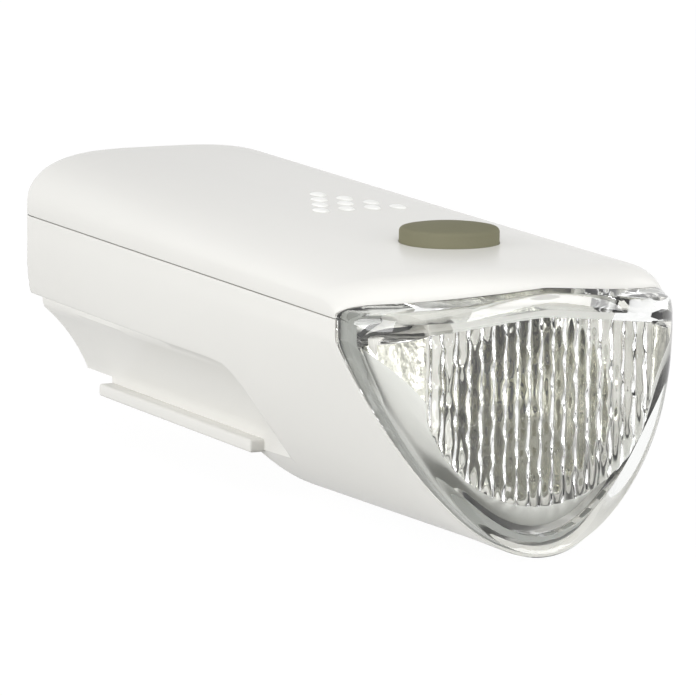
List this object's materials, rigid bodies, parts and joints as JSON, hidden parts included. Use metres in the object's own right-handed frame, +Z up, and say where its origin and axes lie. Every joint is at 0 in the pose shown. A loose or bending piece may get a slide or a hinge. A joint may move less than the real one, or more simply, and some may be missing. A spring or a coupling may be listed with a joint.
{
  "type": "bicycle headlight",
  "caption": "Battery headlight for a handlebar: bowed clear lens, tapered white case with a hinged cover, a soft push button and a slide rail under the keel.",
  "frame": {"origin": "centre of the slide rail's foot, the flat underside of the keel", "axes": "+X to the rider's right seen from behind the light, +Y to the rear, away from the lens, +Z up"},
  "size_m": [0.045, 0.1199, 0.0381],
  "materials": {
    "shell_white": "gloss",
    "inner_white": "satin",
    "clear_lens": "clear, polished",
    "metallised": "vacuum metallised",
    "silicone_grey": "satin, slightly translucent",
    "seal_grey": "matte",
    "steel": "plated",
    "contact_metal": "nickel plated",
    "heat_sink_metal": "satin",
    "board_green": "solder mask",
    "board_white": "white solder mask",
    "emitter": "phosphor under a clear dome",
    "pad_blue": "matte",
    "component_black": "matte",
    "capacitor_can": "satin",
    "holder_black": "matte",
    "cell_wrap": "plain printed wrap",
    "lead_red": "satin",
    "lead_black": "satin"
  },
  "bodies": {
    "housing": {"lower_body": "shell_white", "cover_seal": "seal_grey", "hinge_pin": "steel", "lens": "clear_lens", "lens_gasket": "seal_grey", "reflector": "metallised", "optics_frame": "inner_white", "frame_screws": "steel", "led_board": "board_white", "led_emitter": "emitter", "thermal_pad": "pad_blue", "heat_sink": "heat_sink_metal", "driver_board": "board_green", "board_screws": "steel", "inductor": "component_black", "driver_chip": "component_black", "capacitors": "capacitor_can", "tact_switch": "component_black", "led_lead_red": "lead_red", "led_lead_black": "lead_black", "battery_holder": "holder_black", "aa_cell_left": "cell_wrap", "aa_cell_right": "cell_wrap", "aa_cell_lower": "cell_wrap", "cell_springs": "contact_metal", "front_contacts": "contact_metal", "rear_contacts": "contact_metal", "battery_lead_red": "lead_red", "battery_lead_black": "lead_black"},
    "cover": {"upper_cover": "shell_white", "button_retainer": "inner_white", "retainer_screws": "steel"},
    "button": {"button": "silicone_grey"},
    "plunger": {"switch_plunger": "component_black"}
  },
  "joints": [
    {"name": "cover_hinge", "type": "hinge", "parent": "housing", "child": "cover", "pos_m": [0, 0.0398, 0.0237], "axis": [-1, 0, 0], "range_deg": [0, 75]},
    {"name": "button_press", "type": "slide", "parent": "cover", "child": "button", "axis": [0, 0, -1], "range_m": [0, 0.001], "stiffness_N_per_m": 1500},
    {"name": "plunger_press", "type": "slide", "parent": "housing", "child": "plunger", "axis": [0, 0, -1], "range_m": [0, 0.0003]}
  ],
  "couplings": [
    {"joint": "plunger_press", "follows": "button_press", "ratio": 0.3}
  ]
}
